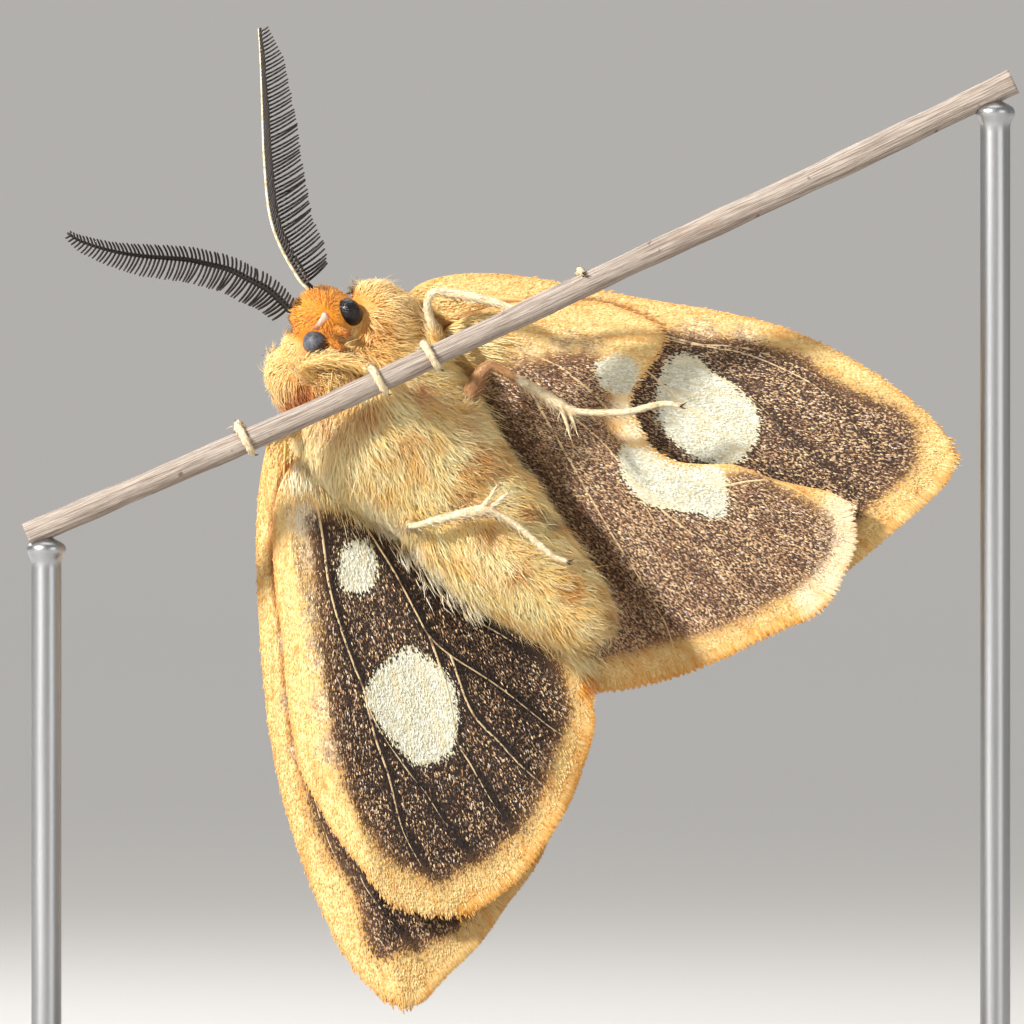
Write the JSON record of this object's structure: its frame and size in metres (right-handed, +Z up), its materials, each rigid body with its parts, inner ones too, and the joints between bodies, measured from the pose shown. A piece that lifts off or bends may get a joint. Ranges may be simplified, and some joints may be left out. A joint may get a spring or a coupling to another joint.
{
  "type": "four-spot anthelid moth model on a stem perch",
  "caption": "Still life-size furry moth seen from below, wings spread and antennae raised, gripping a cut length of dry stem held over a flat base by thin rods.",
  "frame": {"origin": "centre of the stand base's underside", "axes": "+Z up, +Y away from the camera of the picture and out of the moth's back, +X to the picture's right"},
  "size_m": [0.046, 0.026, 0.0464],
  "materials": {
    "body_fur": "golden yellow coat",
    "head_fur": "orange coat",
    "wing_scales": "dark scales with pale spots and a yellow edge",
    "eye": "glossy dark",
    "antenna": "matt dark brown comb",
    "leg_scales": "cream scales",
    "stem": "dry, long grain",
    "stand_wood": "plain matt",
    "stand_metal": "plain satin"
  },
  "bodies": {
    "root": {"thorax": "body_fur", "abdomen": "body_fur", "head": "head_fur", "eye_left": "eye", "eye_right": "eye", "antenna_left": "antenna", "antenna_right": "antenna", "forewing_left": "wing_scales", "forewing_right": "wing_scales", "hindwing_left": "wing_scales", "hindwing_right": "wing_scales", "fore_leg_left": "leg_scales", "fore_leg_right": "leg_scales", "mid_leg_left": "leg_scales", "mid_leg_right": "leg_scales", "hind_leg_left": "leg_scales", "hind_leg_right": "leg_scales", "stem": "stem", "stand_base": "stand_wood", "stand_rod_left": "stand_metal", "stand_rod_right": "stand_metal"}
  },
  "joints": []
}
